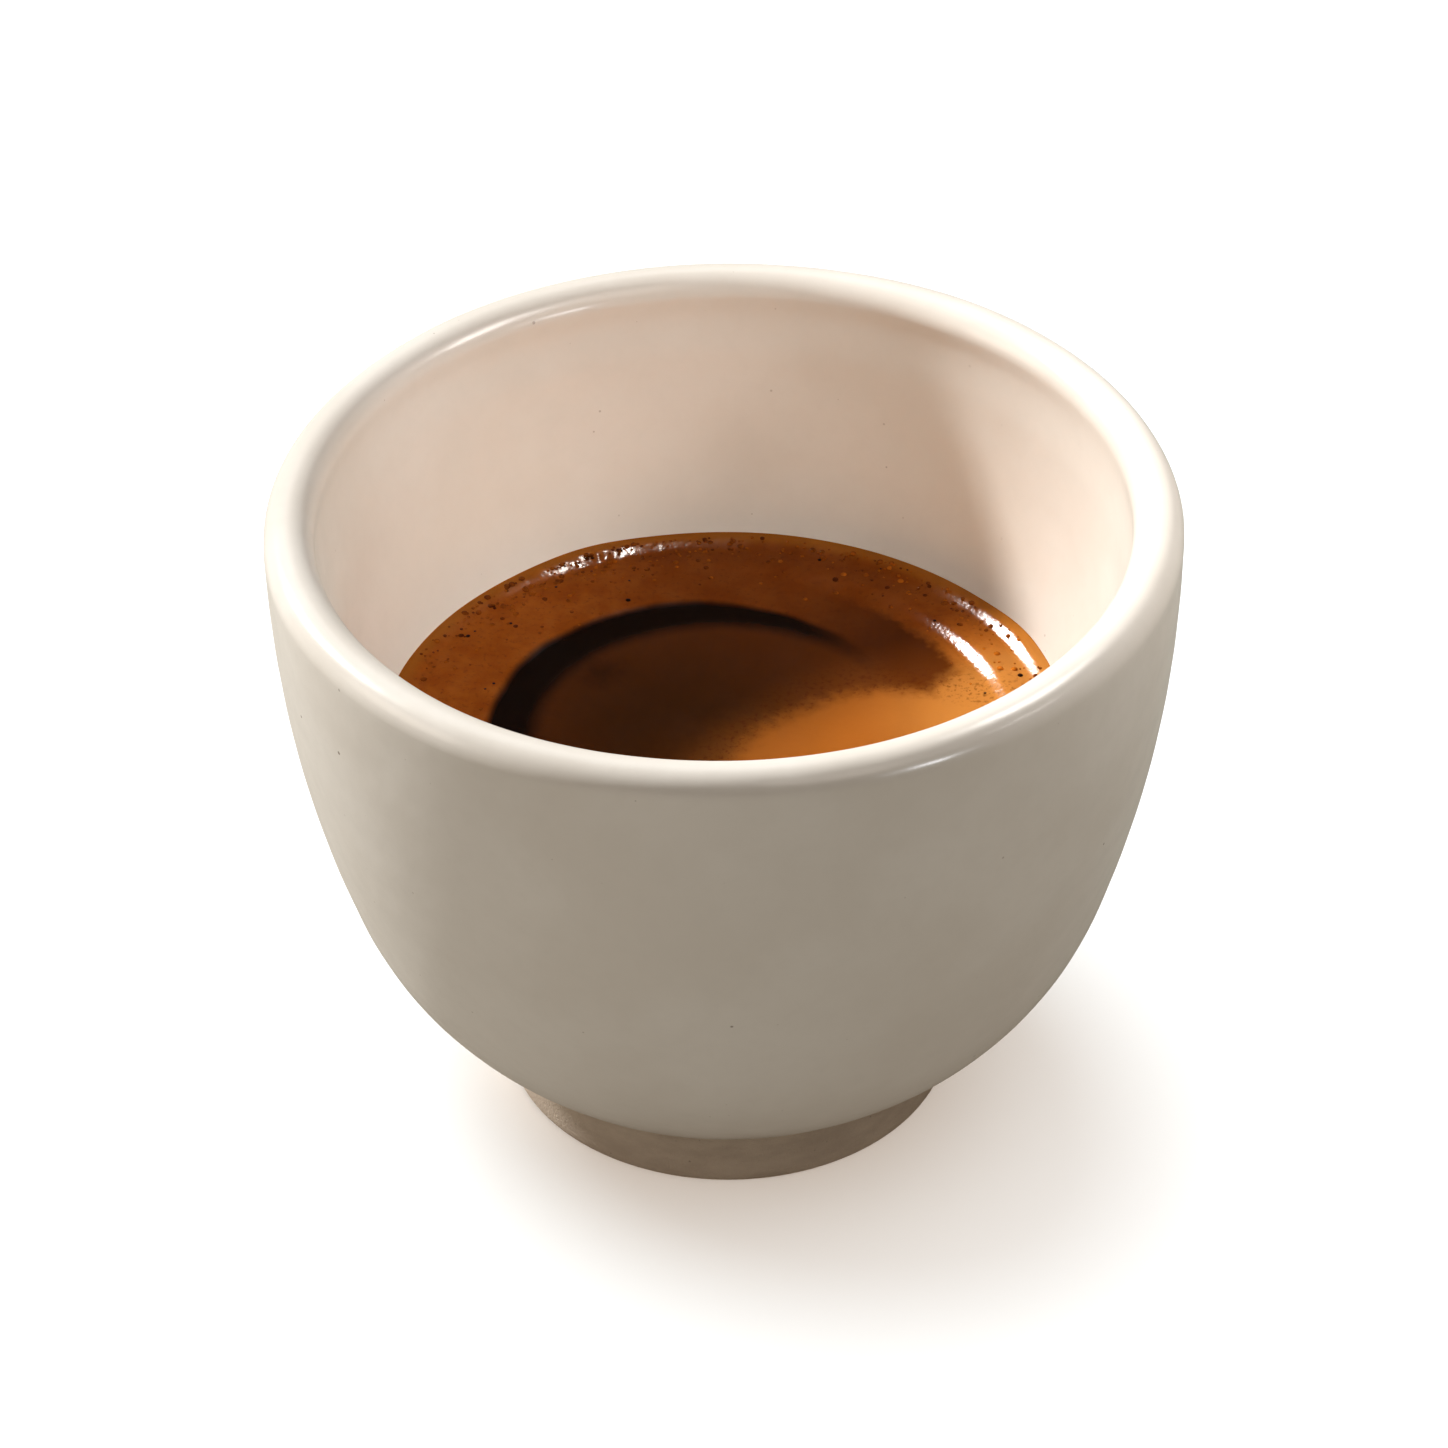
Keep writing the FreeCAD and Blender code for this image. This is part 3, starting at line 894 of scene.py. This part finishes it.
def make_camera():
    """Camera in front of the cup, looking down at it."""
    level = math.cos(CAMERA_ELEVATION)
    back = -Vector((math.sin(CAMERA_SIDE) * level, math.cos(CAMERA_SIDE) * level,
                    -math.sin(CAMERA_ELEVATION)))
    camera = bpy.data.cameras.new("camera")
    camera.sensor_width = 36
    camera.lens = CAMERA_LENS
    camera.clip_start = 0.01
    obj = bpy.data.objects.new("camera", camera)
    bpy.context.scene.collection.objects.link(obj)
    obj.location = Vector((0, 0, CAMERA_AIM_HEIGHT)) + back * CAMERA_DISTANCE
    obj.rotation_mode = "QUATERNION"
    roll = Matrix.Rotation(CAMERA_ROLL, 3, "Z").to_quaternion()
    obj.rotation_quaternion = back.to_track_quat("Z", "Y") @ roll
    bpy.context.scene.camera = obj


def light_cup(cup):
    """Lights that fall on the cup alone."""
    make_sun("key", *KEY_FROM, 4.45, 8, (1.0, 1.0, 0.98), [cup])
    make_sun("back_sky", 115, 50, 0.50, 40, (0.86, 0.95, 1.0), [cup])
    make_sun("front_fill", -60, 45, 0.50, 30, (1.0, 0.90, 0.80), [cup])
    make_sun("left_fill", 190, 20, 0.60, 30, (1.0, 0.88, 0.76), [cup])
    make_lamp("window", WINDOW_PLACE, 12 * MM, 0.085, (1.0, 0.98, 0.95), [cup])
    make_spot("wall_pool", POOL_PLACE, POOL_AIM, 18, 0.56, (1.0, 0.93, 0.90), [cup])
    make_glow("drink_glow", GLOW_PLACE, 36 * MM, 0.0017, (1.0, 0.46, 0.13), [cup])
    gloss_only(make_lamp("rim_shine", RIM_SHINE_PLACE, 16 * MM, 0.5, (0.95, 0.97, 1.0), [cup]))


def light_drink(drink, wet):
    """Lights that fall on the drink alone. The key's own gloss is left to drink_shine."""
    key = make_sun("key_on_drink", *KEY_FROM, 4.6, 8, (1.0, 0.99, 0.97), wet)
    key.visible_glossy = False
    gloss_only(make_sun("drink_shine", 146, 40, 5.5, 11, (1.0, 0.99, 0.97), [drink]))
    gloss_only(make_lamp("froth_shine", FROTH_SHINE_PLACE, 4 * MM, 0.28, (1.0, 0.97, 0.90), [drink]))


def light_floor(floor):
    """Lights that fall on the floor alone; the first casts no shadow."""
    open_light = make_sun("floor_open", 0, 89.9, 0.96, 10, (1.0, 0.77, 0.58), [floor])
    open_light.data.use_shadow = False
    make_sun("floor_dome", 0, 89.9, 2.75, 130, (0.90, 0.96, 1.0), [floor])
    make_sun("floor_side", 135, 62, 2.6, 60, (0.80, 0.93, 1.0), [floor])


# --- Putting it together ---------------------------------------------------------------------------

cup = make_cup()
cup.data.materials.append(glaze_material())
cup.data.materials.append(bare_clay_material())
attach(cup, "root")
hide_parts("cup")

drink = make_drink()
drink.data.materials.append(crema_material())
bubble_places = scatter_on_crema(480, 11, bubble_share)
bubbles = make_domes("crema_bubbles", bubble_places, 0.09, 0.26, flatness=0.55, sink=0.1)
bubbles.data.materials.append(bubble_material())
pit_places = scatter_on_crema(46, 5, ring_share)
pits = make_domes("crema_pits", pit_places, 0.09, 0.24, flatness=0.18, sink=-0.02)
pits.data.materials.append(pit_material())
for piece in (drink, bubbles, pits):
    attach(piece, "root")
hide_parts("espresso")

floor = make_floor()
make_world()
make_camera()
cup.visible_glossy = False              # the coffee doesn't mirror the wall
light_cup(cup)
light_drink(drink, [drink, bubbles, pits])
light_floor(floor)
bpy.context.scene.view_settings.view_transform = "Standard"
